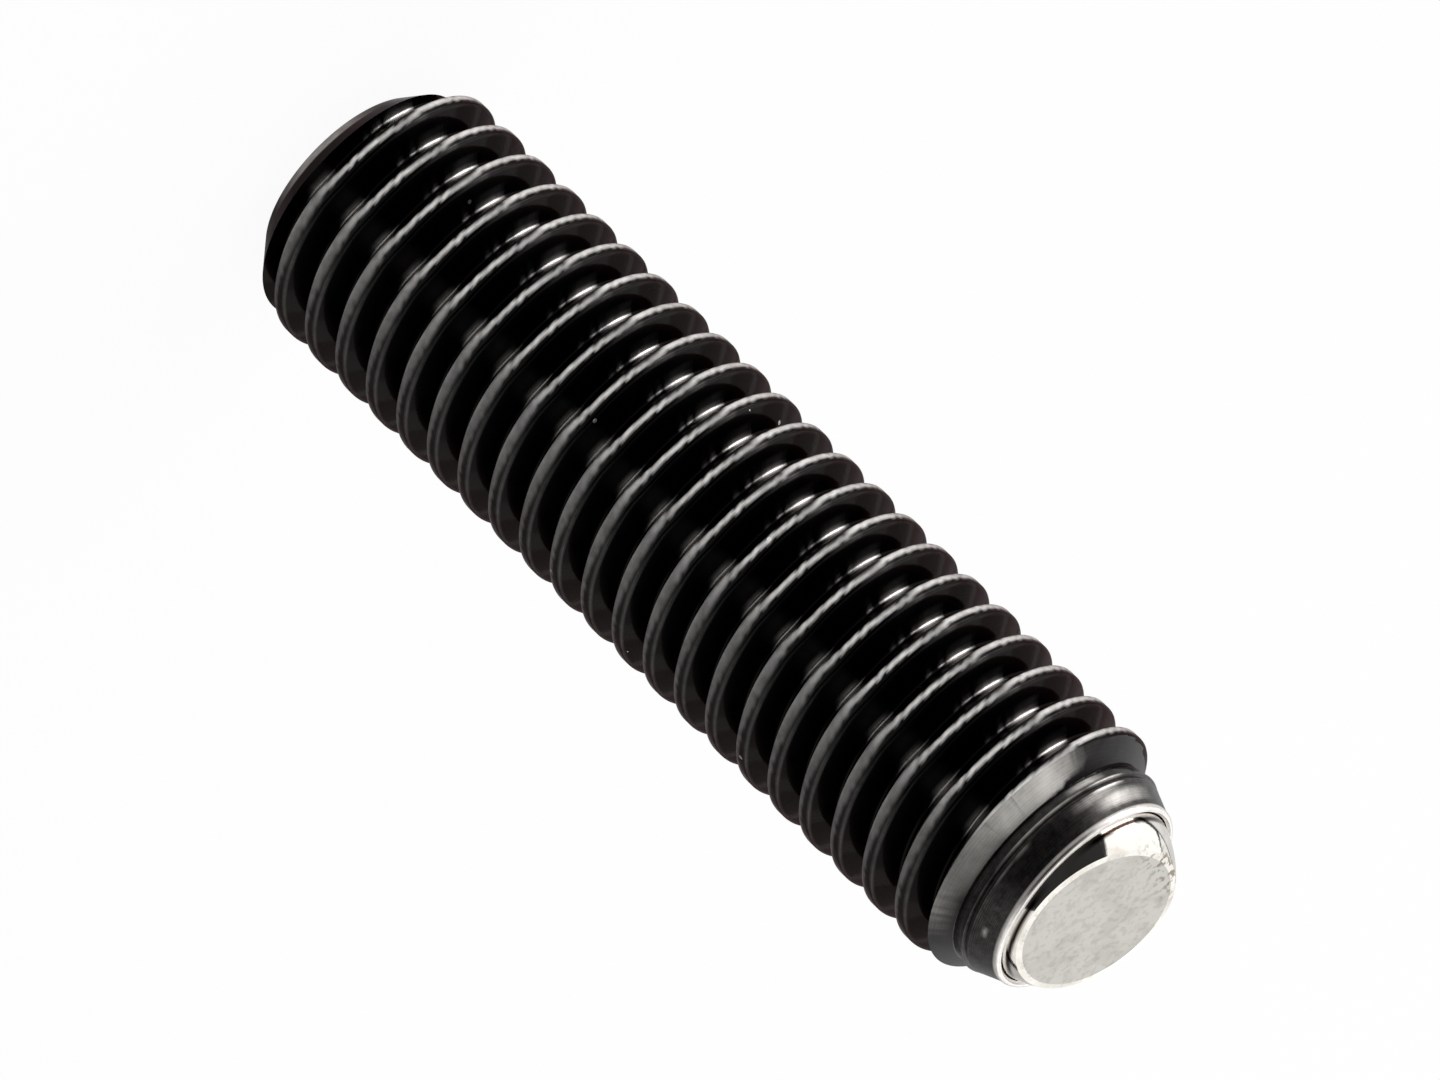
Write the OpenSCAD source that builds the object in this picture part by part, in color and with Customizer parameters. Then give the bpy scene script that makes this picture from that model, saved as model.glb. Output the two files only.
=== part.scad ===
/* [Thread] */
// Major diameter of the right-hand thread
thread_d = 8; // [7.6:0.1:9]
// Thread pitch
pitch = 1.25; // [1.2:0.05:1.5]
// Radial depth from crest to root
thread_depth = 0.7; // [0.5:0.02:0.72]
// Width of the flat left on each crest, along the axis
crest_w = 0.32; // [0.2:0.01:0.36]
// Half angle of the thread flanks
flank_angle = 30; // [25:1:30]
// Angle round the axis at which the groove leaves the rear face
thread_clock = -28; // [-180:1:180]

/* [Shank] */
// Length from the rear face to the end of the lip
body_len = 29.75; // [16:0.05:50]
// Diameter of the flat rear face
rear_face_d = 5.8; // [5.4:0.1:6.4]
// Length of the rear chamfer
rear_chamfer = 1.12; // [0.6:0.02:1.6]
// Width across the flats of the hex socket
socket_af = 4; // [3:0.5:4]
// Depth of the hex socket's flats
socket_depth = 4.5; // [3:0.1:8]
// Diameter of the chamfer at the socket's mouth
socket_mouth_d = 4.9; // [4.7:0.1:5.2]
// Included angle of that chamfer
socket_mouth_angle = 100; // [90:5:120]
// Included angle of the drill point below the socket
socket_point_angle = 118; // [100:2:130]

/* [Neck and lip] */
// Length of the chamfer that ends the thread
front_chamfer = 0.5; // [0.3:0.05:0.7]
// Diameter at the small end of that chamfer
front_chamfer_d = 6.8; // [6.6:0.05:7]
// Width of the relief groove behind the collar
relief_w = 0.3; // [0.15:0.05:0.35]
// Wall left between the relief groove and the ball's seat
relief_wall = 0.24; // [0.2:0.01:0.28]
// Length of the tapered collar up to the lip's round
collar_len = 0.9; // [0.7:0.05:1]
// Diameter of the collar at the relief groove
collar_d = 6.9; // [6.8:0.05:7.1]
// Edge break on the collar
collar_edge = 0.06; // [0.03:0.01:0.1]
// Diameter of the collar where the lip's round begins
lip_d = 6.2; // [6.16:0.02:6.4]
// Radius of the round on the rolled lip
lip_round = 0.2; // [0.1:0.01:0.22]
// Height of the lip above the ball's centre
lip_rise = 0.98; // [0.9:0.02:1.1]

/* [Ball] */
// Diameter of the ball
ball_d = 6; // [5.7:0.05:6]
// Height of the thrust flat above the ball's centre
flat_rise = 1.77; // [1.5:0.01:2.2]
// Edge break round the thrust flat
flat_edge = 0.15; // [0.05:0.01:0.2]
// Angle of that edge break, measured from the flat
flat_edge_angle = 12; // [8:1:45]
// Radial clearance between the ball and its seat
seat_clearance = 0.04; // [0.02:0.01:0.06]
// Angle by which the ball is swivelled at rest
ball_tilt = 12; // [0:1:14]
// Direction of that swivel round the axis
ball_tilt_dir = -55; // [-180:5:180]

/* [Hidden] */
$fn = 96;
overlap = 0.02;
thread_steps = 30;
thread_r = thread_d / 2;
root_r = thread_r - thread_depth;
flank_run = tan(flank_angle);
groove_over = 0.12;
groove_out_r = thread_r + groove_over;
groove_crest_half = (pitch - crest_w) / 2;
groove_out_half = groove_crest_half + groove_over * flank_run;
groove_root_half = groove_crest_half - thread_depth * flank_run;
ball_r = ball_d / 2;
seat_r = ball_r + seat_clearance;
relief_r = seat_r + relief_wall;
core_r = min(root_r, relief_r) - overlap;
ball_z = body_len - lip_rise;
lip_z = body_len - lip_round;
collar_z = lip_z - collar_len;
relief_z = collar_z - relief_w;
thread_end_z = relief_z - front_chamfer;
socket_r = socket_af / 2 / cos(30);
socket_point = socket_r * cos(30) / tan(socket_point_angle / 2);
socket_mouth_depth = (socket_mouth_d - socket_af) / 2 / tan(socket_mouth_angle / 2);
groove_turns_before = 2;
groove_rings = ceil((relief_z / pitch + groove_turns_before + 1) * thread_steps);
groove_profile = [
  [groove_out_r, -groove_out_half],
  [root_r, -groove_root_half],
  [root_r, groove_root_half],
  [groove_out_r, groove_out_half]
];
steel_black = [0.11, 0.10, 0.11];
steel_bright = [0.78, 0.77, 0.74];

// Angle, height and corner point of the groove's section number i
function groove_angle(i) = thread_clock + (i / thread_steps - groove_turns_before) * 360;

function groove_height(i) = (i / thread_steps - groove_turns_before) * pitch;

function groove_point(i, p) = [
  p[0] * cos(groove_angle(i)),
  p[0] * sin(groove_angle(i)),
  p[1] + groove_height(i)
];

// Helical V groove, from below the rear face to the relief groove
module thread_groove() {
  points = [
    for (i = [0 : groove_rings])
      for (p = groove_profile)
        groove_point(i, p)
  ];
  sides = [
    for (i = [0 : groove_rings - 1])
      for (j = [0 : 3])
        let (a = 4 * i + j, b = 4 * i + (j + 1) % 4)
          for (t = [[a, b + 4, b], [a, a + 4, b + 4]])
            t
  ];
  last = 4 * groove_rings;
  ends = [[0, 1, 2], [0, 2, 3], [last, last + 2, last + 1], [last, last + 3, last + 2]];
  polyhedron(points = points, faces = concat(sides, ends), convexity = 10);
}

// Turned bar before threading, chamfered at both ends
module shank_blank() {
  rotate_extrude()
    polygon([
      [0, 0],
      [rear_face_d / 2, 0],
      [thread_r, rear_chamfer],
      [thread_r, thread_end_z],
      [front_chamfer_d / 2, relief_z],
      [0, relief_z]
    ]);
}

// Core under the thread's end, relief groove, tapered collar and rolled lip
module neck_and_lip() {
  rotate_extrude() {
    polygon([
      [0, thread_end_z],
      [core_r, thread_end_z],
      [core_r, relief_z - overlap],
      [relief_r, relief_z - overlap],
      [relief_r, collar_z],
      [collar_d / 2 - collar_edge, collar_z],
      [collar_d / 2, collar_z + collar_edge],
      [lip_d / 2, lip_z],
      [lip_d / 2 - lip_round, lip_z],
      [lip_d / 2 - lip_round, body_len],
      [0, body_len]
    ]);
    translate([lip_d / 2 - lip_round, lip_z])
      intersection() {
        circle(r = lip_round);
        square(lip_round);
      }
  }
}

// Hollow that the ball turns in, closed over it by the lip
module ball_seat() {
  translate([0, 0, ball_z])
    sphere(r = seat_r);
}

// Hex socket with its drill point and the chamfer at its mouth
module hex_socket() {
  translate([0, 0, -overlap])
    cylinder(r = socket_r, h = socket_depth + overlap, $fn = 6);
  translate([0, 0, socket_depth - overlap])
    cylinder(r1 = socket_af / 2, r2 = 0, h = socket_point);
  translate([0, 0, -overlap])
    cylinder(
      r1 = socket_mouth_d / 2 + overlap,
      r2 = socket_af / 2,
      h = socket_mouth_depth + overlap
    );
}

// The threaded body in one piece
module screw_body() {
  color(steel_black)
    difference() {
      union() {
        difference() {
          shank_blank();
          thread_groove();
        }
        neck_and_lip();
      }
      ball_seat();
      hex_socket();
    }
}

// Half section of the ball, with its flat on top and the edge break round it
module ball_profile() {
  flat_r = sqrt(ball_r * ball_r - flat_rise * flat_rise);
  edge_r = flat_r - flat_edge;
  edge_fall = (ball_r - edge_r) * tan(flat_edge_angle);
  intersection() {
    circle(r = ball_r);
    polygon([
      [0, -ball_r],
      [ball_r, -ball_r],
      [ball_r, flat_rise - edge_fall],
      [edge_r, flat_rise],
      [0, flat_rise]
    ]);
  }
}

// Ball in its seat, swivelled to its resting angle
module swivel_ball() {
  color(steel_bright)
    translate([0, 0, ball_z])
      rotate([0, 0, ball_tilt_dir])
        rotate([0, ball_tilt, 0])
          rotate_extrude()
            ball_profile();
}

screw_body();
swivel_ball();
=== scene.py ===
"""Builds and dresses a ball-ended thrust screw.

It has two pieces: a blackened threaded body, and a polished ball with a ground flat that swivels in its lip.
"""

import logging
import math
from dataclasses import dataclass
from enum import Enum

import bmesh
import bpy
import numpy as np
from mathutils import Matrix, Vector

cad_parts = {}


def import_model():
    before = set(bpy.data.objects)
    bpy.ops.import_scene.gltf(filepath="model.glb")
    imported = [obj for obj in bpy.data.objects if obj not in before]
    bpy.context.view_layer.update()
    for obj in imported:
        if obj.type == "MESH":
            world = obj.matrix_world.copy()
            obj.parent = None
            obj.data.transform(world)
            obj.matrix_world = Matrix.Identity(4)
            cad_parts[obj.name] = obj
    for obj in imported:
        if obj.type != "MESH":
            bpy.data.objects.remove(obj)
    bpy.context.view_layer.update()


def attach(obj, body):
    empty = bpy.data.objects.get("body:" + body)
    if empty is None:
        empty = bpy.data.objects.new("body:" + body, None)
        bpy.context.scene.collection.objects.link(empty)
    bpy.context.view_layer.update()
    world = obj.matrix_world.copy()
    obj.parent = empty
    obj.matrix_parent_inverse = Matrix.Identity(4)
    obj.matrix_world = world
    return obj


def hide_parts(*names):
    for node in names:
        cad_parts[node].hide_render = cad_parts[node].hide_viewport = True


log = logging.getLogger("thrust_screw")
MM = 0.001
BUMP_DEPTH = 0.00001
Point = tuple[float, float]
Row = tuple[float, ...]


class Cut(Enum):
    """How a second solid changes the first one."""

    JOIN = "UNION"
    KEEP_SHARED = "INTERSECT"
    REMOVE = "DIFFERENCE"


class BodyFinish(Enum):
    """The body's finishes, numbered in the order of its material list."""

    THREAD = 0
    CHAMFER = 1
    COLLAR = 2
    LIP = 3


class BallFinish(Enum):
    """The ball's finishes, numbered in the order of its material list."""

    LAPPED = 0
    GROUND = 1


def linear(hex_colour: str) -> tuple[float, float, float, float]:
    """Turns an sRGB hex colour into linear RGBA.

    Args:
        hex_colour: Six hex digits with a leading hash.

    Returns:
        The colour as linear red, green, blue and an alpha of 1.
    """
    channels = [int(hex_colour[i:i + 2], 16) / 255 for i in (1, 3, 5)]
    red, green, blue = (c / 12.92 if c <= 0.04045 else ((c + 0.055) / 1.055) ** 2.4 for c in channels)
    return red, green, blue, 1.0


def add_node(
    tree: bpy.types.NodeTree,
    kind: str,
    settings: dict[str | int, object] | None = None,
    links: dict[str | int, bpy.types.NodeSocket] | None = None,
) -> bpy.types.Node:
    """Adds one node with its settings and links.

    Args:
        tree: The node tree that gets the node.
        kind: The node's type name, such as ShaderNodeTexNoise.
        settings: Values by input name or number, or by property name.
        links: Output sockets by the input name or number that they feed.

    Returns:
        The new node.
    """
    node = tree.nodes.new(kind)
    for name, value in (settings or {}).items():
        if isinstance(name, str) and hasattr(node, name):
            setattr(node, name, value)
        else:
            node.inputs[name].default_value = value
    for name, socket in (links or {}).items():
        tree.links.new(socket, node.inputs[name])
    return node


def metal(name: str) -> tuple[bpy.types.Material, bpy.types.NodeTree, bpy.types.Node]:
    """Starts a metal finish.

    Args:
        name: The material's name.

    Returns:
        The material, its node tree and its shader, with metallic at 1.
    """
    material = bpy.data.materials.new(name)
    material.use_nodes = True
    shader = material.node_tree.nodes["Principled BSDF"]
    shader.inputs["Metallic"].default_value = 1.0
    return material, material.node_tree, shader


def rounded(corners: list[tuple[float, float, float]], steps: int) -> list[Point]:
    """Rounds the corners of an open outline.

    Args:
        corners: Points as x, y and the radius at that corner, 0 for a sharp one.
        steps: Number of straight steps along each round.

    Returns:
        The outline's points, in the same order.
    """
    points: list[Point] = []
    for i, (x, y, radius) in enumerate(corners):
        here = Vector((x, y))
        if radius == 0 or i in (0, len(corners) - 1):
            points.append((x, y))
            continue
        to_last = (Vector(corners[i - 1][:2]) - here).normalized()
        to_next = (Vector(corners[i + 1][:2]) - here).normalized()
        half = to_last.angle(to_next) / 2
        centre = here + (to_last + to_next).normalized() * (radius / math.sin(half))
        first = here + to_last * (radius / math.tan(half)) - centre
        last = here + to_next * (radius / math.tan(half)) - centre
        turn = first.angle_signed(last)
        for k in range(steps + 1):
            spoke = first.copy()
            spoke.rotate(Matrix.Rotation(-turn * k / steps, 2))
            points.append(tuple(centre + spoke))
    return points


def turned(name: str, outline: list[Point], sides: int) -> bpy.types.Object:
    """Turns an outline round the Z axis into a closed solid.

    Args:
        name: Name of the new object.
        outline: Radius and height of each point, from the axis back to the axis.
        sides: Number of steps round the axis.

    Returns:
        The new object, in millimetres.
    """
    mesh = bpy.data.meshes.new(name)
    shape = bmesh.new()
    rings = []
    for radius, height in outline:
        if radius < 1e-6:
            rings.append([shape.verts.new((0, 0, height))])
            continue
        angles = [2 * math.pi * k / sides for k in range(sides)]
        rings.append([shape.verts.new((radius * math.cos(a), radius * math.sin(a), height)) for a in angles])
    for low, high in zip(rings, rings[1:]):
        for k in range(sides):
            ahead = k + 1
            corners = [low[k % len(low)], low[ahead % len(low)], high[ahead % len(high)], high[k % len(high)]]
            shape.faces.new(dict.fromkeys(corners))
    bmesh.ops.recalc_face_normals(shape, faces=shape.faces)
    shape.to_mesh(mesh)
    shape.free()
    return show(name, mesh)


def show(name: str, mesh: bpy.types.Mesh) -> bpy.types.Object:
    """Puts a mesh into the scene.

    Args:
        name: Name of the new object.
        mesh: The mesh that it shows.

    Returns:
        The new object.
    """
    piece = bpy.data.objects.new(name, mesh)
    bpy.context.scene.collection.objects.link(piece)
    return piece


def combine(base: bpy.types.Object, tool: bpy.types.Object, cut: Cut) -> None:
    """Changes one solid by another, and takes the second one out of the scene.

    Args:
        base: The solid that is changed.
        tool: The solid that changes it.
        cut: Whether they are joined, or one removes from or limits the other.
    """
    step = base.modifiers.new("cut", "BOOLEAN")
    step.operation = cut.value
    step.solver = "MANIFOLD"
    step.object = tool
    depsgraph = bpy.context.evaluated_depsgraph_get()
    made = bpy.data.meshes.new_from_object(base.evaluated_get(depsgraph))
    base.modifiers.remove(step)
    base.data = made
    bpy.data.objects.remove(tool)


def measured(mesh: bpy.types.Mesh) -> tuple[np.ndarray, np.ndarray, np.ndarray]:
    """Measures where each point of a mesh lies round the Z axis.

    Args:
        mesh: The mesh in millimetres.

    Returns:
        Distance from the axis, bearing in degrees from 0 to 360, and height, one value for each point.
    """
    points = np.empty(len(mesh.vertices) * 3)
    mesh.vertices.foreach_get("co", points)
    x, y, z = points.reshape(-1, 3).T
    return np.hypot(x, y), (np.degrees(np.arctan2(y, x)) + 360) % 360, z


def store(mesh: bpy.types.Mesh, name: str, values: np.ndarray) -> None:
    """Stores one value on each point of a mesh, for its material to read.

    Args:
        mesh: The mesh that gets the values.
        name: The attribute's name.
        values: One value for each point.
    """
    mesh.attributes.new(name, "FLOAT", "POINT").data.foreach_set("value", values)


@dataclass(frozen=True)
class HighlightAndStainPatch:
    """A patch of colour that fades at its edges: on the body a painted highlight or reflection, on the ball a stain.

    Its bearing and half width are in degrees, its height and half height in its own unit, its strength from 0 to 1.
    """

    bearing: float
    spread: float
    height: float
    reach: float
    strength: float

    def on(self, side: np.ndarray, height: np.ndarray) -> np.ndarray:
        """Works out how strong the patch is at each point.

        Args:
            side: Bearing of each point in degrees, from 0 to 360.
            height: Height of each point, in the patch's own unit.

        Returns:
            A strength from 0 to 1 for each point.
        """
        across = np.clip(1.5 - np.abs(side - self.bearing) / self.spread, 0, 1)
        along = np.clip(1.5 - np.abs(height - self.height) / self.reach, 0, 1)
        return self.strength * across * along


@dataclass(frozen=True)
class BlackOxideSteel:
    """Rolled steel thread with a hot black oxide coat, lightly oiled.

    The oxide is near black with a brown cast, and catches grey where it is seen at a flat angle. The oil adds a thin
    sharp gloss. Pale steel is mixed in, broken into short streaks, by the attribute wear_and_highlights: rubbed crests
    and nicks, and painted highlights and reflections placed by bearing.
    """

    oxide: str = "#090808"
    oxide_brown: str = "#110e0e"
    edge_cast: str = "#b8aeae"
    # pale steel for nicks and rubbed crests, and the colour of the painted highlights and reflections
    bare_steel_and_highlight: str = "#f2efec"
    roughness: float = 0.34
    oil: float = 0.08
    oil_roughness: float = 0.09
    # oxide grains are some 0.02 mm wide and drawn at 0.08 mm, so that they show
    grain_scale: float = 12000.0
    # the bath leaves clouds about 0.9 mm across, and the nuts leave streaks of 0.4 mm
    cloud_scale: float = 1100.0
    streak_scale: float = 2600.0
    # knocks bare a spot every few millimetres, 0.1 mm across
    nick_scale: float = 1300.0
    nick_size: float = 0.085
    nick_share: float = 0.82

    def make(self) -> bpy.types.Material:
        """Makes the material.

        Returns:
            The material, which reads the attribute wear_and_highlights.
        """
        material, tree, shader = metal("black_oxide_steel_oiled")
        place = add_node(tree, "ShaderNodeTexCoord").outputs["Object"]
        wear_and_highlights = add_node(tree, "ShaderNodeAttribute", {"attribute_name": "wear_and_highlights"}).outputs["Fac"]
        grain = add_node(tree, "ShaderNodeTexNoise", {"Scale": self.grain_scale, "Detail": 3.0}, {"Vector": place})
        cloud = add_node(tree, "ShaderNodeTexNoise", {"Scale": self.cloud_scale, "Detail": 4.0}, {"Vector": place})
        streak = add_node(
            tree, "ShaderNodeTexNoise",
            {"Scale": self.streak_scale, "Detail": 5.0, "Roughness": 0.65}, {"Vector": place},
        )
        broken = add_node(
            tree, "ShaderNodeMapRange",
            {"From Min": 0.36, "From Max": 0.6, "To Min": 0.7, "To Max": 1.0}, {"Value": streak.outputs["Fac"]},
        )
        nick = add_node(tree, "ShaderNodeTexVoronoi", {"Scale": self.nick_scale}, {"Vector": place})
        near = add_node(
            tree, "ShaderNodeMath", {"operation": "LESS_THAN", 1: self.nick_size}, {0: nick.outputs["Distance"]},
        )
        chosen = add_node(
            tree, "ShaderNodeMath", {"operation": "GREATER_THAN", 1: self.nick_share}, {0: nick.outputs["Color"]},
        )
        nicks = add_node(tree, "ShaderNodeMath", {"operation": "MULTIPLY"}, {0: near.outputs[0], 1: chosen.outputs[0]})
        # rubbed wear and painted highlights from the attribute, broken into streaks
        rubbed = add_node(tree, "ShaderNodeMath", {"operation": "MULTIPLY"}, {0: wear_and_highlights, 1: broken.outputs[0]})
        mask = add_node(
            tree, "ShaderNodeMath", {"operation": "MULTIPLY_ADD", "use_clamp": True, 1: 0.5},
            {0: nicks.outputs[0], 2: rubbed.outputs[0]},
        )
        coat = add_node(
            tree, "ShaderNodeMix",
            {"data_type": "RGBA", 6: linear(self.oxide), 7: linear(self.oxide_brown)}, {0: cloud.outputs["Fac"]},
        )
        colour = add_node(
            tree, "ShaderNodeMix", {"data_type": "RGBA", 7: linear(self.bare_steel_and_highlight)},
            {0: mask.outputs[0], 6: coat.outputs[2]},
        )
        rough = add_node(
            tree, "ShaderNodeMapRange",
            {"From Min": 0.3, "From Max": 0.7, "To Min": self.roughness - 0.08, "To Max": self.roughness + 0.1},
            {"Value": cloud.outputs["Fac"]},
        )
        bump = add_node(
            tree, "ShaderNodeBump", {"Strength": 0.3, "Distance": BUMP_DEPTH}, {"Height": grain.outputs["Fac"]},
        )
        shader.inputs["Coat Weight"].default_value = self.oil
        shader.inputs["Coat Roughness"].default_value = self.oil_roughness
        shader.inputs["Specular Tint"].default_value = linear(self.edge_cast)
        tree.links.new(colour.outputs[2], shader.inputs["Base Color"])
        tree.links.new(rough.outputs[0], shader.inputs["Roughness"])
        tree.links.new(bump.outputs[0], shader.inputs["Normal"])
        return material


@dataclass(frozen=True)
class TurnedSteel:
    """Steel turned on a lathe and blackened: fine rings round the axis, pale and mottled by wear and painted
    highlights.
    """

    name: str
    dark: str
    # light: pale steel for rubbed wear and for painted highlights
    light: str
    roughness: float
    rings: float
    mottle: float
    fleck: float
    # the tool leaves a ring every 0.05 mm along the axis, drawn at 0.09 mm and broken up so that they show
    ring_scale: float = 11000.0

    def make(self) -> bpy.types.Material:
        """Makes the material.

        Returns:
            The material, which reads the attribute wear_and_highlights.
        """
        material, tree, shader = metal(self.name)
        place = add_node(tree, "ShaderNodeTexCoord").outputs["Object"]
        apart = add_node(tree, "ShaderNodeSeparateXYZ", {}, {0: place})
        height = add_node(
            tree, "ShaderNodeMath", {"operation": "MULTIPLY", 1: self.ring_scale}, {0: apart.outputs["Z"]},
        )
        ring = add_node(
            tree, "ShaderNodeTexNoise", {"noise_dimensions": "1D", "Detail": 2.0}, {"W": height.outputs[0]},
        )
        spots = add_node(
            tree, "ShaderNodeTexNoise", {"Scale": self.mottle, "Detail": 5.0, "Roughness": 0.7}, {"Vector": place},
        )
        wear_and_highlights = add_node(tree, "ShaderNodeAttribute", {"attribute_name": "wear_and_highlights"}).outputs["Fac"]
        both = add_node(
            tree, "ShaderNodeMath", {"operation": "MULTIPLY"}, {0: ring.outputs["Fac"], 1: spots.outputs["Fac"]},
        )
        texture = add_node(
            tree, "ShaderNodeMapRange", {"From Min": 0.12, "From Max": 0.42}, {"Value": both.outputs[0]},
        )
        uneven = add_node(
            tree, "ShaderNodeMapRange", {"To Min": 0.7, "To Max": 1.15}, {"Value": texture.outputs[0]},
        )
        faint = add_node(tree, "ShaderNodeMath", {"operation": "MULTIPLY", 1: self.fleck}, {0: texture.outputs[0]})
        mask = add_node(
            tree, "ShaderNodeMath", {"operation": "MULTIPLY_ADD", "use_clamp": True},
            {0: wear_and_highlights, 1: uneven.outputs[0], 2: faint.outputs[0]},
        )
        colour = add_node(
            tree, "ShaderNodeMix", {"data_type": "RGBA", 6: linear(self.dark), 7: linear(self.light)},
            {0: mask.outputs[0]},
        )
        bump = add_node(
            tree, "ShaderNodeBump", {"Strength": self.rings, "Distance": BUMP_DEPTH}, {"Height": ring.outputs["Fac"]},
        )
        shader.inputs["Roughness"].default_value = self.roughness
        tree.links.new(colour.outputs[2], shader.inputs["Base Color"])
        tree.links.new(bump.outputs[0], shader.inputs["Normal"])
        return material


@dataclass(frozen=True)
class BallSteel:
    """Hardened bearing steel, lapped to a mirror or ground flat: warm grey with faint clouds and a few stains."""

    name: str
    colour: str
    cloud: str
    roughness: float
    cloud_scale: float
    bump: float
    stain: str = "#857a6e"
    # oil: colour of the painted shade line where the ball meets the lip, standing in for the dark gap that it mirrors
    oil: str = "#24150c"
    # stains are 0.1 to 0.25 mm across
    stain_scale: float = 5200.0
    # grit marks are some 0.01 mm wide and drawn at 0.05 mm, so that they show
    grit_scale: float = 20000.0

    def make(self) -> bpy.types.Material:
        """Makes the material.

        Returns:
            The material, which reads the attributes wear_and_highlights, stains here, and gap_shade_line, a painted
            shade.
        """
        material, tree, shader = metal(self.name)
        place = add_node(tree, "ShaderNodeTexCoord").outputs["Object"]
        clouds = add_node(
            tree, "ShaderNodeTexNoise",
            {"Scale": self.cloud_scale, "Detail": 4.0, "Distortion": 0.6}, {"Vector": place},
        )
        mask = add_node(
            tree, "ShaderNodeMapRange", {"From Min": 0.45, "From Max": 0.75}, {"Value": clouds.outputs["Fac"]},
        )
        colour = add_node(
            tree, "ShaderNodeMix", {"data_type": "RGBA", 6: linear(self.colour), 7: linear(self.cloud)},
            {0: mask.outputs[0]},
        )
        wear_and_highlights = add_node(tree, "ShaderNodeAttribute", {"attribute_name": "wear_and_highlights"}).outputs["Fac"]
        spots = add_node(tree, "ShaderNodeTexNoise", {"Scale": self.stain_scale, "Detail": 3.0}, {"Vector": place})
        spotted = add_node(
            tree, "ShaderNodeMapRange", {"From Min": 0.52, "From Max": 0.6}, {"Value": spots.outputs["Fac"]},
        )
        stained = add_node(tree, "ShaderNodeMath", {"operation": "MULTIPLY"}, {0: wear_and_highlights, 1: spotted.outputs[0]})
        colour = add_node(
            tree, "ShaderNodeMix", {"data_type": "RGBA", 7: linear(self.stain)},
            {0: stained.outputs[0], 6: colour.outputs[2]},
        )
        # painted shade: a dark line where the ball meets the lip, standing in for the reflection of the gap
        gap_shade = add_node(tree, "ShaderNodeAttribute", {"attribute_name": "gap_shade_line"}).outputs["Fac"]
        colour = add_node(
            tree, "ShaderNodeMix", {"data_type": "RGBA", 7: linear(self.oil)}, {0: gap_shade, 6: colour.outputs[2]},
        )
        grit = add_node(tree, "ShaderNodeTexNoise", {"Scale": self.grit_scale, "Detail": 2.0}, {"Vector": place})
        bump = add_node(
            tree, "ShaderNodeBump", {"Strength": self.bump, "Distance": BUMP_DEPTH}, {"Height": grit.outputs["Fac"]},
        )
        shader.inputs["Roughness"].default_value = self.roughness
        tree.links.new(colour.outputs[2], shader.inputs["Base Color"])
        tree.links.new(bump.outputs[0], shader.inputs["Normal"])
        return material


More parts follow.
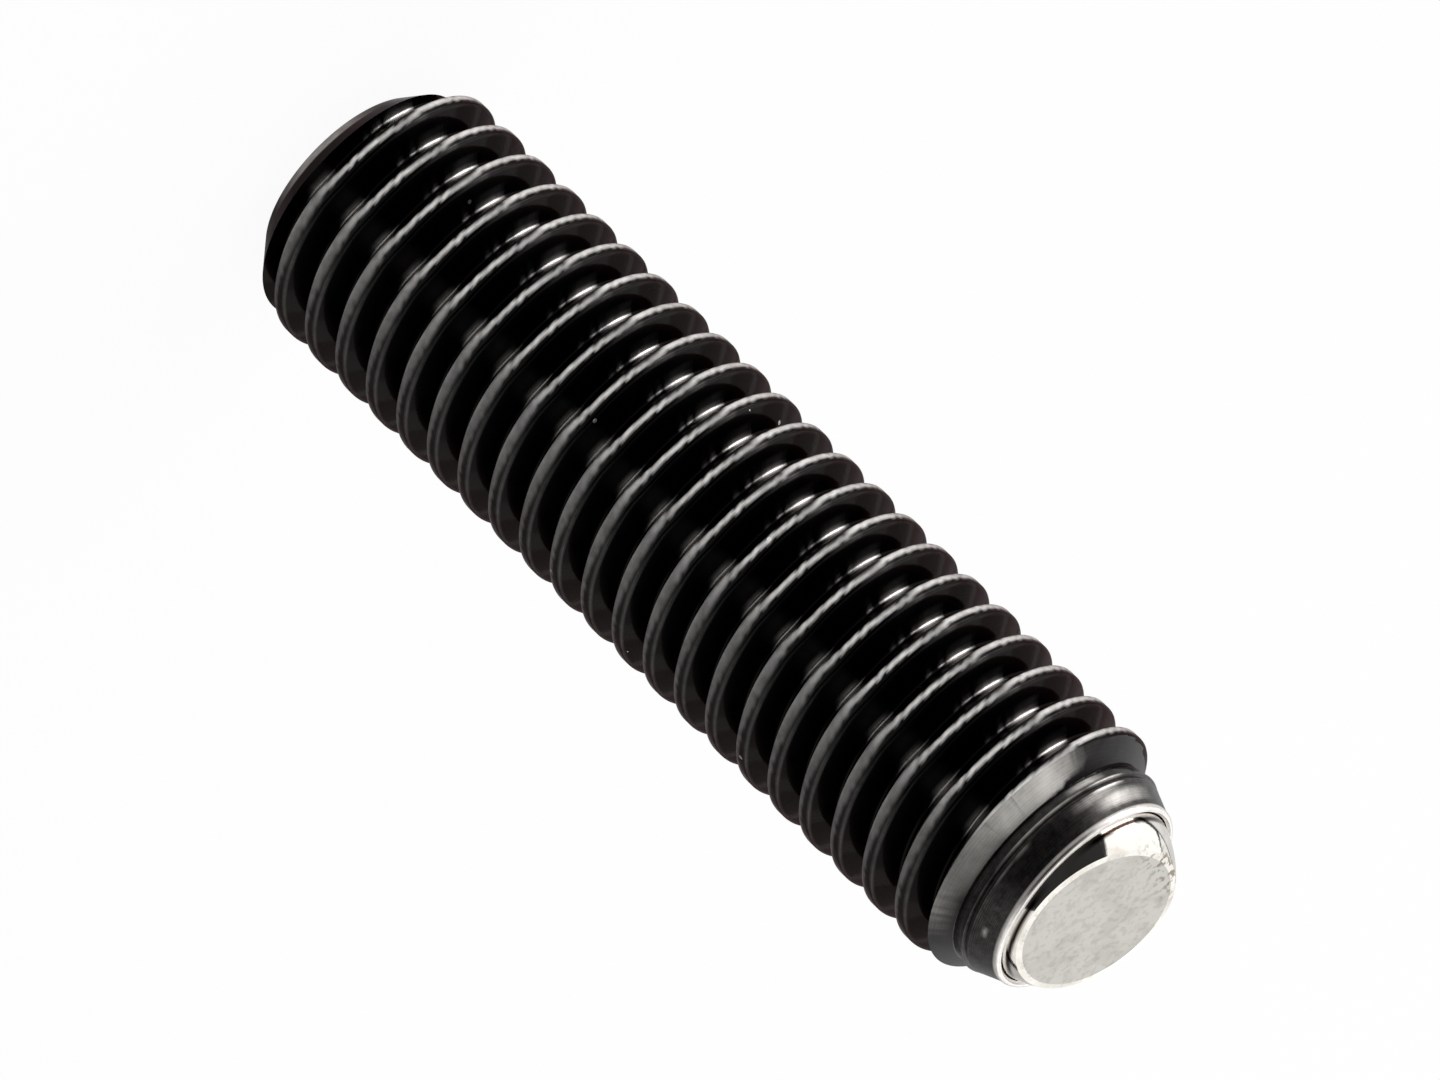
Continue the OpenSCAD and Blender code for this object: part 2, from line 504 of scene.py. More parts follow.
@dataclass
class ScrewBody:
    """The threaded body in one piece, from the hex socket to the rolled lip. Sizes in millimetres and degrees."""

    thread_radius: float = 4.0
    pitch: float = 1.25
    thread_depth: float = 0.7
    crest_width: float = 0.32
    flank_angle: float = 30.0
    thread_clock: float = -28.0
    crest_round: float = 0.09
    root_round: float = 0.1
    flank_rows: Row = (0.16, 0.3, 0.5, 0.78)
    steps_round: int = 136
    rear_face_radius: float = 2.9
    rear_chamfer: float = 1.12
    thread_end: float = 27.85
    relief_start: float = 28.35
    collar_start: float = 28.65
    lip_start: float = 29.55
    length: float = 29.75
    front_chamfer_radius: float = 3.4
    relief_radius: float = 3.28
    collar_radius: float = 3.45
    lip_radius: float = 3.1
    lip_round: float = 0.2
    mark_depth: float = 0.12
    lip_flat: float = 0.13
    lip_wall: float = 0.24
    fade_gap: float = 0.6
    fade_length: float = 1.5
    socket_across_flats: float = 4.0
    socket_depth: float = 4.5
    drill_tip: float = 1.15
    mouth_radius: float = 2.45
    mouth_depth: float = 0.378
    overcut: float = 0.1
    overlap: float = 0.05
    clearance: float = 0.4
    smooth_under: float = 28.0
    sides_round: int = 180
    seat_radius: float = 3.04
    seat_height: float = 28.77
    drift_bearing: Row = (0, 20, 90, 272, 284, 360)
    drift_height: Row = (-0.08, -0.08, 0, 0, -0.08, -0.08)
    seam_bearing: Row = (0, 266, 274, 300, 310, 322, 340, 360)
    seam_height: Row = (0, 0, -0.07, -0.07, -0.045, -0.015, 0, 0)
    # the pale line on the crests, by bearing: a painted highlight that shifts across the crest where the light catches
    # it, with a faint painted sheen beside it
    crest_highlight_bearing: Row = (
        180, 200, 220, 225, 229, 234, 244, 253,
        262, 270, 278, 286, 296, 306, 320, 340,
    )
    crest_highlight_middle: Row = (
        0.09, 0.1, 0.09, 0.08, 0.1, 0.19, 0.17, 0.13,
        0.1, 0.07, 0.04, 0.06, 0.07, 0.06, 0.04, 0.02,
    )
    crest_highlight_reach: Row = (
        0.08, 0.08, 0.08, 0.08, 0.08, 0.07, 0.06, 0.06,
        0.06, 0.06, 0.08, 0.12, 0.14, 0.14, 0.1, 0.08,
    )
    crest_highlight_strength: Row = (
        0.85, 1, 1, 1, 0.8, 0.45, 0.75, 1,
        1, 0.95, 0.7, 0.45, 0.3, 0.33, 0.32, 0.31,
    )
    crest_highlight_haze: Row = (
        0.02, 0.01, 0.01, 0.01, 0.05, 0.02, 0, 0,
        0, 0, 0.01, 0.02, 0.04, 0.05, 0.04, 0.03,
    )
    # a painted highlight on the front chamfer, by bearing
    chamfer_highlight_bearing: Row = (218, 224, 230, 235, 245, 262, 270, 278, 295, 305, 311, 320, 340)
    chamfer_highlight: Row = (0, 0.02, 0.14, 0.32, 1, 1, 0.93, 0.46, 0.34, 0.12, 0.01, 0, 0)
    # painted highlights and reflections in the roots and on the flanks, at one bearing each
    root_highlight: HighlightAndStainPatch = HighlightAndStainPatch(226, 6.5, -0.03, 0.09, 0.95)
    root_glints: HighlightAndStainPatch = HighlightAndStainPatch(241, 7, -0.08, 0.05, 0.5)
    root_reflection: HighlightAndStainPatch = HighlightAndStainPatch(279, 6, 0.15, 0.17, 1.0)
    flank_highlight: HighlightAndStainPatch = HighlightAndStainPatch(302, 17, -0.08, 0.12, 0.5)
    # painted highlights on the relief groove, the collar's edge and the collar, by bearing
    neck_highlights: tuple[HighlightAndStainPatch, ...] = (
        HighlightAndStainPatch(229, 9, 28.47, 0.06, 0.9),
        HighlightAndStainPatch(221, 9, 28.68, 0.05, 1.0),
        HighlightAndStainPatch(260, 20, 28.68, 0.04, 0.75),
        HighlightAndStainPatch(222, 8, 28.88, 0.035, 1.0),
        HighlightAndStainPatch(275, 4, 28.90, 0.035, 1.0),
        HighlightAndStainPatch(285, 7, 28.90, 0.03, 0.5),
        HighlightAndStainPatch(214, 15, 29.25, 0.17, 0.6),
        HighlightAndStainPatch(230, 12, 29.0, 0.1, 0.3),
        HighlightAndStainPatch(320, 2, 29.21, 0.05, 0.6),
    )

    @property
    def crest_highlight_rows(self) -> tuple[Row, ...]:
        """Gives the painted crest highlight's middle, reach, strength and haze, one row each."""
        return self.crest_highlight_middle, self.crest_highlight_reach, self.crest_highlight_strength, self.crest_highlight_haze

    def thread_section(self) -> list[Point]:
        """Lays out one pitch of thread, crest to crest.

        Returns:
            Height from the crest's middle and radius of each point.
        """
        run = self.thread_depth * math.tan(math.radians(self.flank_angle))
        half = self.crest_width / 2
        root = self.thread_radius - self.thread_depth
        rise = [(half * share, self.thread_radius, 0) for share in (0, 0.33)]
        rise += [(half, self.thread_radius, self.crest_round)]
        rise += [
            (half + run * share, self.thread_radius - self.thread_depth * share, 0) for share in self.flank_rows
        ]
        rise += [(half + run, root, self.root_round)]
        corners = rise + [(self.pitch - height, radius, turn) for height, radius, turn in reversed(rise)]
        return rounded(corners, 3)[:-1]

    def drift(self, side: np.ndarray, z: np.ndarray) -> np.ndarray:
        """Gives how far the rolled thread runs off its ideal helix.

        Args:
            side: Bearing of each point in degrees, from 0 to 360.
            z: Height of each point in millimetres.

        Returns:
            The drift of each point in millimetres, which fades out towards the front chamfer.
        """
        return np.interp(side, self.drift_bearing, self.drift_height) * self.front_fade(z)

    def front_fade(self, z: np.ndarray) -> np.ndarray:
        """Fades what the rolling left, from 1 to 0, so that the front chamfer is true."""
        return np.clip((self.thread_end - self.fade_gap - z) / self.fade_length, 0, 1)

    def seam(self, side: np.ndarray, section_height: np.ndarray) -> np.ndarray:
        """Gives how far the rolling seam pushes out the crest's rear edge.

        Args:
            side: Bearing of each column of points in degrees, from 0 to 360.
            section_height: Height of each point of the section above its crest's middle.

        Returns:
            The push in millimetres, one row for each bearing and one column for each point of the section.
        """
        half = self.crest_width / 2
        foot = self.pitch - half - self.thread_depth * math.tan(math.radians(self.flank_angle))
        on_edge = np.interp(section_height, (foot, self.pitch - half, self.pitch), (0, 1, 0))
        return np.interp(side, self.seam_bearing, self.seam_height)[:, None] * on_edge

    def threaded_bar(self) -> bpy.types.Object:
        """Sweeps the thread's section along its helix.

        Returns:
            A closed bar, longer than the screw at both ends.
        """
        section = np.array(self.thread_section())
        rows_a_turn = len(section)
        turns = np.arange(-3, math.ceil(self.length / self.pitch) + 2)
        angles = 2 * np.pi * np.arange(self.steps_round) / self.steps_round
        lead = (angles / (2 * np.pi) - self.thread_clock / 360 + 0.5) * self.pitch
        heights = (turns[:, None] * self.pitch + section[None, :, 0]).ravel()
        radii = np.tile(section[:, 1], len(turns))
        rows = len(heights)
        grid = np.empty((self.steps_round, rows, 3))
        grid[..., 0] = np.cos(angles)[:, None] * radii
        grid[..., 1] = np.sin(angles)[:, None] * radii
        grid[..., 2] = lead[:, None] + heights
        grid[..., 2] += self.drift(np.degrees(angles)[:, None], grid[..., 2])
        push = np.tile(self.seam(np.degrees(angles), section[:, 0]), len(turns))
        grid[..., 2] += push * self.front_fade(grid[..., 2])
        number = np.arange(self.steps_round * rows).reshape(self.steps_round, rows)
        along, ahead = number[:-1], number[1:]
        faces = np.stack([along[:, :-1], ahead[:, :-1], ahead[:, 1:], along[:, 1:]], -1).reshape(-1, 4)
        last, first = number[-1, :rows - rows_a_turn], number[0, rows_a_turn:]
        joins = np.stack([last[:-1], first[:-1], first[1:], last[1:]], -1)
        low, high = self.steps_round * rows, self.steps_round * rows + 1
        points = np.vstack([grid.reshape(-1, 3), [0, 0, grid[..., 2].min()], [0, 0, grid[..., 2].max()]])
        first_edge = list(number[:, 0]) + list(number[0, rows_a_turn::-1])
        last_edge = list(number[:, -1][::-1]) + list(number[-1, rows - rows_a_turn - 1:])
        caps = [(low, b, a) for a, b in zip(first_edge, first_edge[1:])]
        caps += [(high, b, a) for a, b in zip(last_edge, last_edge[1:])]
        mesh = bpy.data.meshes.new("threaded_bar")
        mesh.from_pydata(points.tolist(), [], faces.tolist() + joins.tolist() + caps)
        shape = bmesh.new()
        shape.from_mesh(mesh)
        bmesh.ops.recalc_face_normals(shape, faces=shape.faces)
        log.info("threaded bar: %d open edges", sum(not e.is_manifold for e in shape.edges))
        shape.to_mesh(mesh)
        shape.free()
        return show("threaded_bar", mesh)

    def end_limits(self) -> bpy.types.Object:
        """Turns the space that the thread may fill, with both end chamfers.

        Returns:
            That space as a solid.
        """
        clear = self.thread_radius + self.clearance
        rear_slope = self.rear_chamfer / (self.thread_radius - self.rear_face_radius)
        front_slope = (self.relief_start - self.thread_end) / (self.thread_radius - self.front_chamfer_radius)
        corners = [
            (0, 0, 0),
            (self.rear_face_radius, 0, 0.12),
            (self.rear_face_radius + 0.15, 0.15 * rear_slope, 0),
            (self.rear_face_radius + 0.3, 0.3 * rear_slope, 0),
            (self.rear_face_radius + 0.37, 0.37 * rear_slope, 0),
            (clear, (clear - self.rear_face_radius) * rear_slope, 0),
            (clear, self.thread_end - self.clearance * front_slope, 0),
            (self.front_chamfer_radius, self.relief_start, 0.05),
            (0, self.relief_start, 0),
        ]
        return turned("end_limits", rounded(corners, 4), self.sides_round)

    def neck(self) -> bpy.types.Object:
        """Turns the relief groove, the tapered collar and the rolled lip.

        Returns:
            The neck as a solid, without the ball's seat.
        """
        inside = self.thread_radius - self.thread_depth - self.overlap
        collar_rows = [
            (self.collar_radius + (self.lip_radius - self.collar_radius) * share,
             self.collar_start + (self.lip_start - self.collar_start) * share, 0)
            for share in np.linspace(0.27, 0.9, 12)
        ]
        corners = [
            (0, self.thread_end, 0),
            (inside, self.thread_end, 0),
            (inside, self.relief_start - 0.03, 0),
            (self.relief_radius, self.relief_start - 0.03, 0),
            (self.relief_radius, self.relief_start + 0.08, 0),
            (self.relief_radius, self.relief_start + 0.16, 0),
            (self.relief_radius, self.collar_start, 0.05),
            (self.collar_radius, self.collar_start, 0.04),
            (self.collar_radius - 0.01, self.collar_start + 0.07, 0.02),
            (self.collar_radius - self.mark_depth, self.collar_start + 0.11, 0),
            (self.collar_radius - self.mark_depth, self.collar_start + 0.17, 0),
            (self.collar_radius - 0.075, self.collar_start + 0.21, 0.02),
            *collar_rows,
            (self.lip_radius, self.lip_start, 0.1),
            (self.lip_radius, self.length, self.lip_round * 0.6),
            (self.lip_radius - self.lip_flat, self.length, 0.01),
            (self.lip_radius - self.lip_wall, self.length - self.lip_flat, 0),
            (0, self.length - self.lip_flat, 0),
        ]
        return turned("neck", rounded(corners, 4), self.sides_round)

    def hollow_out(self, body: bpy.types.Object) -> None:
        """Cuts the ball's seat, the hex socket, its drill point and the chamfer at its mouth.

        Args:
            body: The body, in millimetres.
        """
        seat = [
            (self.seat_radius * math.sin(a), self.seat_height - self.seat_radius * math.cos(a))
            for a in np.linspace(0, math.pi, 41)
        ]
        combine(body, turned("seat", seat, self.sides_round), Cut.REMOVE)
        flat = self.socket_across_flats / 2
        corner = flat / math.cos(math.pi / 6)
        below, depth = -self.overcut, self.socket_depth
        socket = [(0, below), (corner, below), (corner, depth), (0, depth)]
        combine(body, turned("socket", socket, 6), Cut.REMOVE)
        point = [(0, depth - self.overlap), (flat, depth - self.overlap), (0, depth + self.drill_tip)]
        combine(body, turned("drill_point", point, 96), Cut.REMOVE)
        slope = self.mouth_depth / (self.mouth_radius - flat)
        wide = self.mouth_radius + self.overcut / slope
        mouth = [(0, below), (wide, below), (flat, self.mouth_depth), (0, self.mouth_depth)]
        combine(body, turned("mouth", mouth, 96), Cut.REMOVE)

    def build(self) -> bpy.types.Object:
        """Joins and cuts the body's solids, and paints and dresses the piece.

        Returns:
            The piece in metres, on the body that carries it.
        """
        body = self.threaded_bar()
        combine(body, self.end_limits(), Cut.KEEP_SHARED)
        combine(body, self.neck(), Cut.JOIN)
        self.hollow_out(body)
        body.name = "threaded_screw"
        mesh = body.data
        self.paint_highlights_and_wear(mesh)
        mesh.transform(Matrix.Scale(MM, 4))
        for face in mesh.polygons:
            face.use_smooth = True
        mesh.set_sharp_from_angle(angle=math.radians(self.smooth_under))
        log.info("%s: %d faces", body.name, len(mesh.polygons))
        self.dress(mesh)
        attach(body, "screw")
        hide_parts("screw_body")
        return body

    def dress(self, mesh: bpy.types.Mesh) -> None:
        """Gives each face its finish by where it lies.

        Args:
            mesh: The body's mesh in metres.
        """
        finishes = {
            BodyFinish.THREAD: BlackOxideSteel(),
            # the front chamfer: hardly any ring shows; its pale band on one side is a painted highlight
            BodyFinish.CHAMFER: TurnedSteel(
                "turned_steel_oxide_painted_highlight", "#131011", "#d0cdc8",
                roughness=0.45, rings=0.08, mottle=2500.0, fleck=0.02,
            ),
            # the collar: clear rings that catch the light, with pale flecks where the coat is uneven, and painted
            # highlights on one side
            BodyFinish.COLLAR: TurnedSteel(
                "turned_steel_black_oxide", "#1c191a", "#cfcbc6",
                roughness=0.36, rings=0.5, mottle=4000.0, fleck=0.13,
            ),
            # the lip: rubbed bright by the roller that closed it, brown where the coat is left, with painted shade
            # across its front
            BodyFinish.LIP: TurnedSteel(
                "rolled_steel_burnished", "#2c1d15", "#eeeae6",
                roughness=0.34, rings=0.3, mottle=3000.0, fleck=0.05,
            ),
        }
        mesh.materials.clear()
        for part in BodyFinish:
            mesh.materials.append(finishes[part].make())
        for face in mesh.polygons:
            height, radius = face.center.z / MM, math.hypot(face.center.x, face.center.y) / MM
            faces_front = face.normal.z > 0.6 and radius > self.front_chamfer_radius
            on_chamfer = faces_front and height > self.thread_end - 0.02
            on_collar = height > self.relief_start - 0.01
            on_lip = height > self.lip_start or (height > self.collar_start and radius < self.seat_radius + 0.02)
            if on_lip:
                part = BodyFinish.LIP
            elif on_collar:
                part = BodyFinish.COLLAR
            else:
                part = BodyFinish.CHAMFER if on_chamfer else BodyFinish.THREAD
            face.material_index = part.value

    def thread_highlights_and_wear(self, side: np.ndarray, radius: np.ndarray, z: np.ndarray) -> np.ndarray:
        """Works out how pale the thread is painted: some rubbed wear, mostly painted highlights and reflections.

        Args:
            side: Bearing of each point in degrees, from 0 to 360.
            radius: Distance of each point from the axis in millimetres.
            z: Height of each point in millimetres.

        Returns:
            How pale each point is painted, from 0 to 1.
        """
        turn = (z - self.drift(side, z)) / self.pitch - (side - self.thread_clock) / 360
        from_edge = ((turn % 1) - 0.5) * self.pitch + self.crest_width / 2
        from_root = ((turn + 0.5) % 1 - 0.5) * self.pitch
        uneven = np.sin(np.floor(turn) * 2.4)
        shifted = side + 1.5 * uneven
        middle, reach, strength, haze = (np.interp(side, self.crest_highlight_bearing, row, period=360) for row in self.crest_highlight_rows)
        on_crest = np.clip((radius - self.thread_radius + 0.1) / 0.05, 0, 1)
        ragged = 0.018 * np.sin(side * 1.3 + 5 * uneven) + 0.012 * np.sin(side * 3.1)
        # painted highlight along the crests, placed by bearing
        crest_highlight = on_crest * strength * np.clip(1.5 - np.abs(from_edge + ragged - middle) / reach, 0, 1)
        # thin: a faint painted sheen on the crests, by bearing
        thin = on_crest * haze * np.clip((from_edge + 0.1) / 0.1, 0, 1)
        # painted glints, highlights and reflections in the roots and on the flanks
        root_glints = self.root_glints.on(side, from_root) * (np.sin(side * 0.9 + uneven * 4) > 0.2)
        threaded = (z > 0.4) * (z < self.thread_end)
        marks = [
            self.root_highlight.on(shifted, from_root),
            self.root_reflection.on(shifted, from_root),
            self.flank_highlight.on(side, from_edge),
            root_glints,
        ]
        # painted highlight on the rear rim, on one side only
        at_rear = (radius < self.rear_face_radius + 0.33) * (z < 0.35)
        rear_rim_highlight = np.clip(1.5 - np.abs(side - 270) / 26, 0, 1) * at_rear
        return np.maximum.reduce([crest_highlight, thin, 0.55 * rear_rim_highlight] + [threaded * mark for mark in marks])

    def neck_highlights_and_wear(self, side: np.ndarray, radius: np.ndarray, z: np.ndarray) -> np.ndarray:
        """Works out how pale the end chamfer, the collar and the lip are painted: painted highlights, and the lip's
        rubbed wear.

        Args:
            side: Bearing of each point in degrees, from 0 to 360.
            radius: Distance of each point from the axis in millimetres.
            z: Height of each point in millimetres.

        Returns:
            How pale each point is painted, from 0 to 1.
        """
        narrowing = (self.thread_radius - self.front_chamfer_radius) / (self.relief_start - self.thread_end)
        cone = self.thread_radius - (z - self.thread_end) * narrowing
        on_chamfer = (z > self.thread_end) * (z < self.relief_start + 0.01) * (radius > cone - 0.03)
        # painted highlight on the front chamfer, by bearing
        chamfer = on_chamfer * np.interp(side, self.chamfer_highlight_bearing, self.chamfer_highlight, period=360)
        on_neck = z > self.relief_start + 0.01
        # painted highlights on the relief groove and collar
        collar = np.maximum.reduce([on_neck * patch.on(side, z) for patch in self.neck_highlights])
        # the lip: rubbed pale all round, with painted shade across its front; edge is a painted highlight on its top
        # edge
        shaded_front = np.clip(1.5 - np.abs(side - 267) / 22, 0, 1)
        on_lip = np.clip((z - self.lip_start) / 0.04, 0, 1)
        outer = on_lip * (1 - 0.4 * shaded_front)
        edge = on_lip * np.clip((z - self.length + 0.05) / 0.03, 0, 1)
        return np.maximum.reduce([chamfer, collar * (z < self.lip_start - 0.1), outer, edge])

    def paint_highlights_and_wear(self, mesh: bpy.types.Mesh) -> None:
        """Stores on each point how pale it is painted, from 0 to 1: some rubbed wear, mostly painted highlights and
        reflections.

        Args:
            mesh: The body's mesh in millimetres.
        """
        radius, side, z = measured(mesh)
        thread = self.thread_highlights_and_wear(side, radius, z) * (z < self.relief_start + 0.01)
        store(mesh, "wear_and_highlights", np.clip(np.maximum(thread, self.neck_highlights_and_wear(side, radius, z)), 0, 1))


@dataclass
class SwivelBall:
    """The hardened ball with its ground flat. Sizes in millimetres and degrees."""

    radius: float = 3.0
    flat_height: float = 1.77
    edge_break: float = 0.15
    edge_angle: float = 12.0
    centre_height: float = 28.77
    tilt: float = 12.0
    tilt_direction: float = -55.0
    smooth_under: float = 8.0
    stains: HighlightAndStainPatch = HighlightAndStainPatch(228, 29, 53, 6, 0.9)
    flat_stain: float = 0.2
    # a painted shade line on the ball where it meets the lip, standing in for the dark gap that it mirrors; left out
    # across the front
    gap_shade_height: float = 29.83
    gap_shade_reach: float = 0.07
    unshaded_bearing: float = 268.0
    unshaded_spread: float = 16.0

    def build(self) -> bpy.types.Object:
        """Turns, stains and places the ball.

        Returns:
            The piece in metres, on the body that carries it.
        """
        flat_radius = math.sqrt(self.radius ** 2 - self.flat_height ** 2)
        inner = flat_radius - self.edge_break
        slope = math.tan(math.radians(self.edge_angle))
        height = self.flat_height + slope * inner
        steep = 1 + slope ** 2
        outer = (slope * height + math.sqrt(self.radius ** 2 * steep - height ** 2)) / steep
        top = math.pi - math.atan2(outer, height - slope * outer)
        outline = [(self.radius * math.sin(a), -self.radius * math.cos(a)) for a in np.linspace(0, top, 170)]
        outline += [(r, self.flat_height) for r in (inner, inner - 0.1, inner - 0.3, inner - 0.6, inner / 2, 0)]
        ball = turned("thrust_ball", outline, 240)
        place = (
            Matrix.Translation((0, 0, self.centre_height))
            @ Matrix.Rotation(math.radians(self.tilt_direction), 4, "Z")
            @ Matrix.Rotation(math.radians(self.tilt), 4, "Y")
        )
        mesh = ball.data
        for face in mesh.polygons:
            face.use_smooth = True
            on_flat = face.center.z > self.flat_height - 0.01
            face.material_index = (BallFinish.GROUND if on_flat else BallFinish.LAPPED).value
        mesh.set_sharp_from_angle(angle=math.radians(self.smooth_under))
        self.paint_stains(mesh)
        mesh.transform(place)
        self.paint_gap_shade_line(mesh)
        mesh.transform(Matrix.Scale(MM, 4))
        finishes = {
            # lapped round the ball: a mirror with clouds about 1 mm across
            BallFinish.LAPPED: BallSteel(
                "ball_steel_lapped", "#ece9e2", "#c9c1b6", roughness=0.08, cloud_scale=900.0, bump=0.05,
            ),
            # ground on the flat: a dull, even grey with clouds of 0.7 mm
            BallFinish.GROUND: BallSteel(
                "ball_steel_ground_flat", "#c3c1bb", "#b0ada6", roughness=0.42, cloud_scale=1400.0, bump=0.3,
            ),
        }
        for part in BallFinish:
            mesh.materials.append(finishes[part].make())
        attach(ball, "ball")
        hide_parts("swivel_ball")
        return ball

    def paint_stains(self, mesh: bpy.types.Mesh) -> None:
        """Stores on each point how stained the steel is there, from 0 to 1.

        Args:
            mesh: The ball's mesh in millimetres, before it is placed.
        """
        radius, side, z = measured(mesh)
        from_top = np.degrees(np.arctan2(radius, z))
        faint = self.flat_stain * (z > self.flat_height - 0.001)
        store(mesh, "wear_and_highlights", np.maximum(self.stains.on(side, from_top), faint))

    def paint_gap_shade_line(self, mesh: bpy.types.Mesh) -> None:
        """Stores on each point the painted shade line where the ball meets the lip, from 0 to 1.

        Args:
            mesh: The ball's mesh in millimetres, after it is placed.
        """
        _, side, z = measured(mesh)
        unshaded = np.clip(1.5 - np.abs(side - self.unshaded_bearing) / self.unshaded_spread, 0, 1)
        line = np.clip(1.5 - np.abs(z - self.gap_shade_height) / self.gap_shade_reach, 0, 1)
        store(mesh, "gap_shade_line", line * (1 - unshaded))


@dataclass(frozen=True)
class Lamp:
    """A soft box lamp: its bearings in degrees, its distance and size in metres, and how bright its face is.

    Azimuth 0 is the front, and positive goes to +X.
    """

    name: str
    azimuth: float
    elevation: float
    distance: float
    width: float
    height: float
    radiance: float

    def hang(self, centre: Vector) -> None:
        """Hangs the lamp so that it faces a point.

        Args:
            centre: The point, in metres.
        """
        a, e = math.radians(self.azimuth), math.radians(self.elevation)
        towards = Vector((math.sin(a) * math.cos(e), -math.cos(a) * math.cos(e), math.sin(e)))
        lamp = bpy.data.lights.new(self.name, "AREA")
        lamp.shape = "RECTANGLE"
        lamp.size, lamp.size_y = self.width, self.height
        lamp.energy = self.radiance * math.pi * self.width * self.height
        holder = bpy.data.objects.new(self.name, lamp)
        holder.location = centre + towards * self.distance
        holder.rotation_mode = "QUATERNION"
        holder.rotation_quaternion = (-towards).to_track_quat("-Z", "Y")
        bpy.context.scene.collection.objects.link(holder)


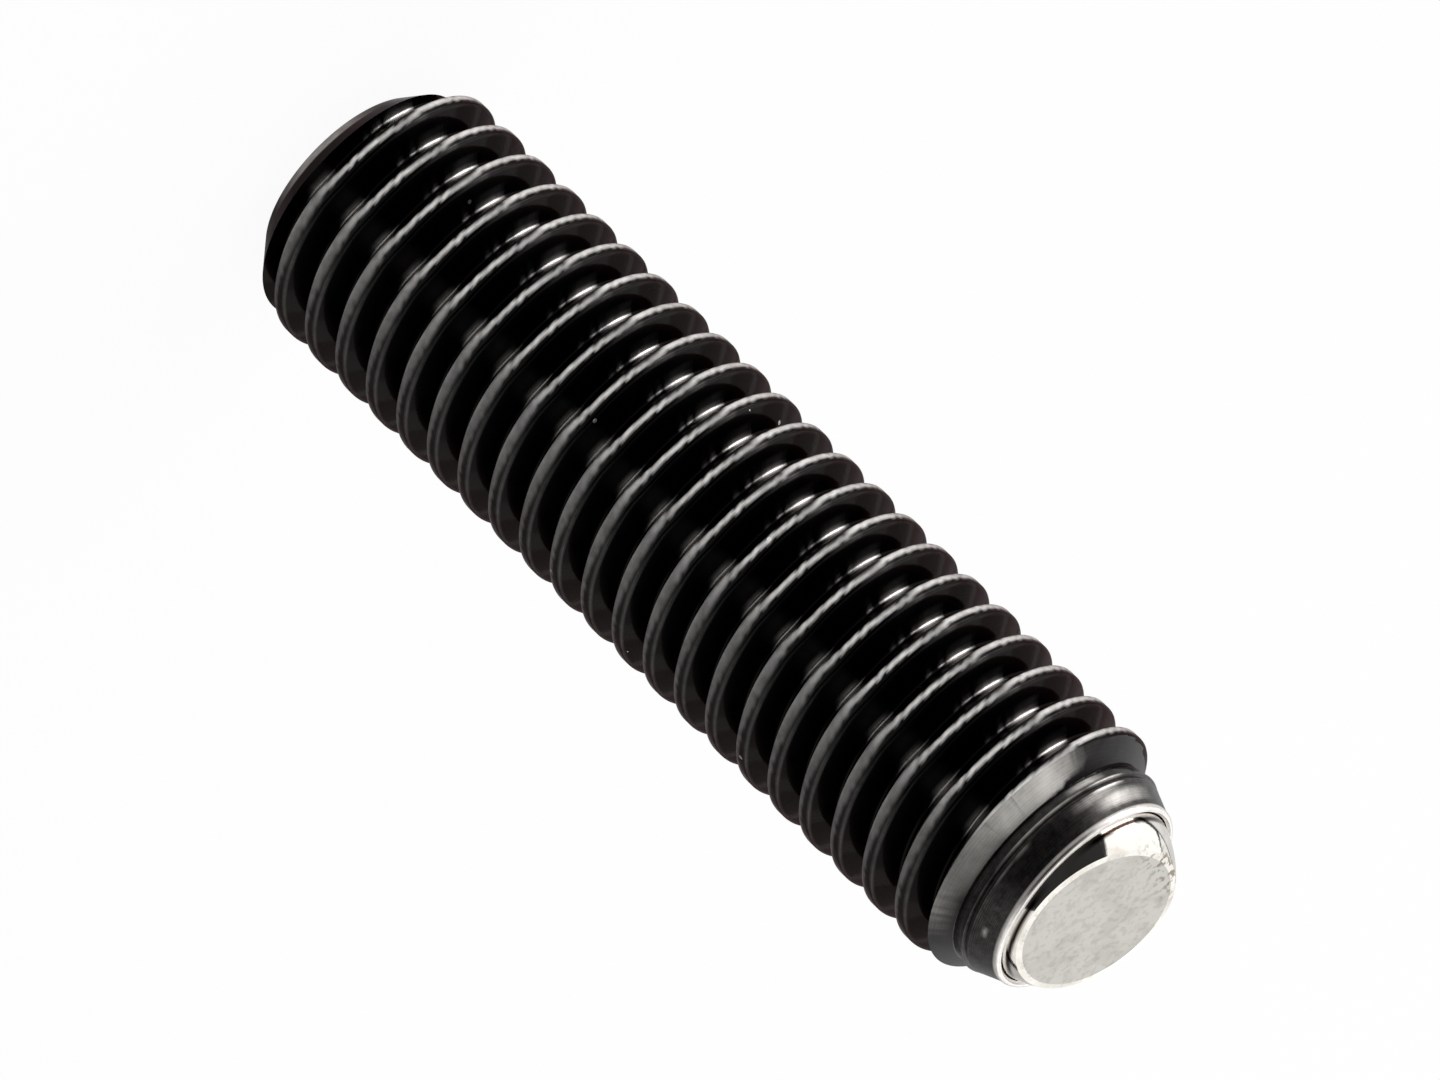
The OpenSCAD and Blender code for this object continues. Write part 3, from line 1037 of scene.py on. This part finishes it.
@dataclass
class Studio:
    """The pale floor, the soft lamps, the plain surroundings and the camera."""

    lens: float = 435.65
    lean: float = 23.731
    roll: float = 44.180
    aim: tuple[float, float, float] = (0.0, 0.0, 14.807)
    aim_in_camera: tuple[float, float, float] = (-0.2419, -0.1606, 461.33)
    lamp_aim: tuple[float, float, float] = (0.0, 0.0, 0.015)
    lamps: tuple[Lamp, ...] = (
        Lamp("key", -84, 9, 0.38, 0.30, 0.08, 5.0),
        Lamp("left", -100, 27, 0.45, 0.66, 0.40, 1.25),
        Lamp("right", 94, 27, 0.45, 0.76, 0.40, 0.9),
        Lamp("back", 180, 48, 0.50, 0.98, 0.66, 1.15),
        Lamp("low", 180, 10, 0.50, 0.90, 0.16, 1.0),
        Lamp("top", -90, 83, 0.45, 0.25, 0.56, 0.9),
    )

    def camera(self) -> None:
        """Places the camera and makes it the scene's own."""
        lean, roll = math.radians(self.lean), math.radians(self.roll)
        forward = Vector((0, math.cos(lean), -math.sin(lean)))
        right = Vector((-math.sin(roll), math.sin(lean) * math.cos(roll), math.cos(lean) * math.cos(roll)))
        down = Vector((math.cos(roll), math.sin(lean) * math.sin(roll), math.cos(lean) * math.sin(roll)))
        across, below, ahead = self.aim_in_camera
        place = Vector(self.aim) - right * across - down * below - forward * ahead
        camera = bpy.data.objects.new("camera", bpy.data.cameras.new("camera"))
        bpy.context.scene.collection.objects.link(camera)
        turn = Matrix((right, -down, -forward)).transposed().to_4x4()
        camera.matrix_world = Matrix.Translation(place * MM) @ turn
        camera.data.lens = self.lens
        camera.data.sensor_width = 36.0
        camera.data.clip_start = 0.01
        bpy.context.scene.camera = camera

    def lights(self) -> None:
        """Hangs the soft lamps round the screw."""
        for lamp in self.lamps:
            lamp.hang(Vector(self.lamp_aim))

    def room(self) -> None:
        """Makes the world: dim round the screw, and white to the camera."""
        world = bpy.data.worlds.new("plain_room")
        bpy.context.scene.world = world
        world.use_nodes = True
        tree = world.node_tree
        tree.nodes.clear()
        path = add_node(tree, "ShaderNodeLightPath")
        dim = add_node(tree, "ShaderNodeBackground", {"Color": (0.03, 0.03, 0.03, 1.0), "Strength": 1.0})
        white = add_node(tree, "ShaderNodeBackground", {"Color": (1.0, 1.0, 1.0, 1.0), "Strength": 1.0})
        mixed = add_node(
            tree, "ShaderNodeMixShader", {}, {0: path.outputs["Is Camera Ray"], 1: dim.outputs[0], 2: white.outputs[0]},
        )
        add_node(tree, "ShaderNodeOutputWorld", {}, {"Surface": mixed.outputs[0]})

    def floor(self) -> None:
        """Lays the pale floor, which keeps the screw's shadow, shows white to the camera, and glows to metal with a
        painted fall-off.
        """
        below, above, radius = -0.0005, -0.00002, 0.9
        floor = turned("floor", [(0, below), (radius, below), (radius, above), (0, above)], 96)
        material = bpy.data.materials.new("matt_white_paper")
        material.use_nodes = True
        tree = material.node_tree
        tree.nodes.clear()
        path = add_node(tree, "ShaderNodeLightPath")
        paper = add_node(tree, "ShaderNodeBsdfDiffuse", {"Color": (0.85, 0.85, 0.85, 1.0)})
        place = add_node(tree, "ShaderNodeTexCoord").outputs["Object"]
        towards = add_node(tree, "ShaderNodeVectorMath", {"operation": "NORMALIZE"}, {0: place})
        apart = add_node(tree, "ShaderNodeSeparateXYZ", {}, {0: towards.outputs[0]})
        # painted fall-off of light, seen only in reflections: the floor glows at full strength towards -X and at 0.3
        # towards +X
        painted_falloff = add_node(
            tree, "ShaderNodeMapRange", {"From Min": -1.0, "From Max": 1.0, "To Min": 1.0, "To Max": 0.3},
            {"Value": apart.outputs["X"]},
        )
        bright = add_node(
            tree, "ShaderNodeMath", {"operation": "MAXIMUM"},
            {0: path.outputs["Is Camera Ray"], 1: painted_falloff.outputs[0]},
        )
        glow = add_node(tree, "ShaderNodeEmission", {"Color": (1.0, 1.0, 1.0, 1.0)}, {"Strength": bright.outputs[0]})
        mirrored = add_node(
            tree, "ShaderNodeMath", {"operation": "MULTIPLY", 1: 0.9}, {0: path.outputs["Is Glossy Ray"]},
        )
        seen = add_node(
            tree, "ShaderNodeMath", {"operation": "MULTIPLY_ADD", 1: 0.95},
            {0: path.outputs["Is Camera Ray"], 2: mirrored.outputs[0]},
        )
        mixed = add_node(tree, "ShaderNodeMixShader", {}, {0: seen.outputs[0], 1: paper.outputs[0], 2: glow.outputs[0]})
        add_node(tree, "ShaderNodeOutputMaterial", {}, {"Surface": mixed.outputs[0]})
        floor.data.materials.append(material)

    def build(self) -> None:
        """Sets up the floor, the light and the camera."""
        bpy.context.scene.view_settings.view_transform = "Standard"
        self.room()
        self.floor()
        self.lights()
        self.camera()


def corners(box: tuple[Vector, Vector]) -> list[list[float]]:
    """Turns a box's two corners into plain lists of numbers."""
    return [list(corner) for corner in box]


def main() -> None:
    """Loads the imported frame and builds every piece."""
    logging.basicConfig(level=logging.INFO, format="%(message)s")
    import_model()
    body = ScrewBody().build()
    log.info("built %s", body.name)
    ball = SwivelBall().build()
    log.info("built %s", ball.name)
    Studio().build()


if __name__ == "__main__":
    main()
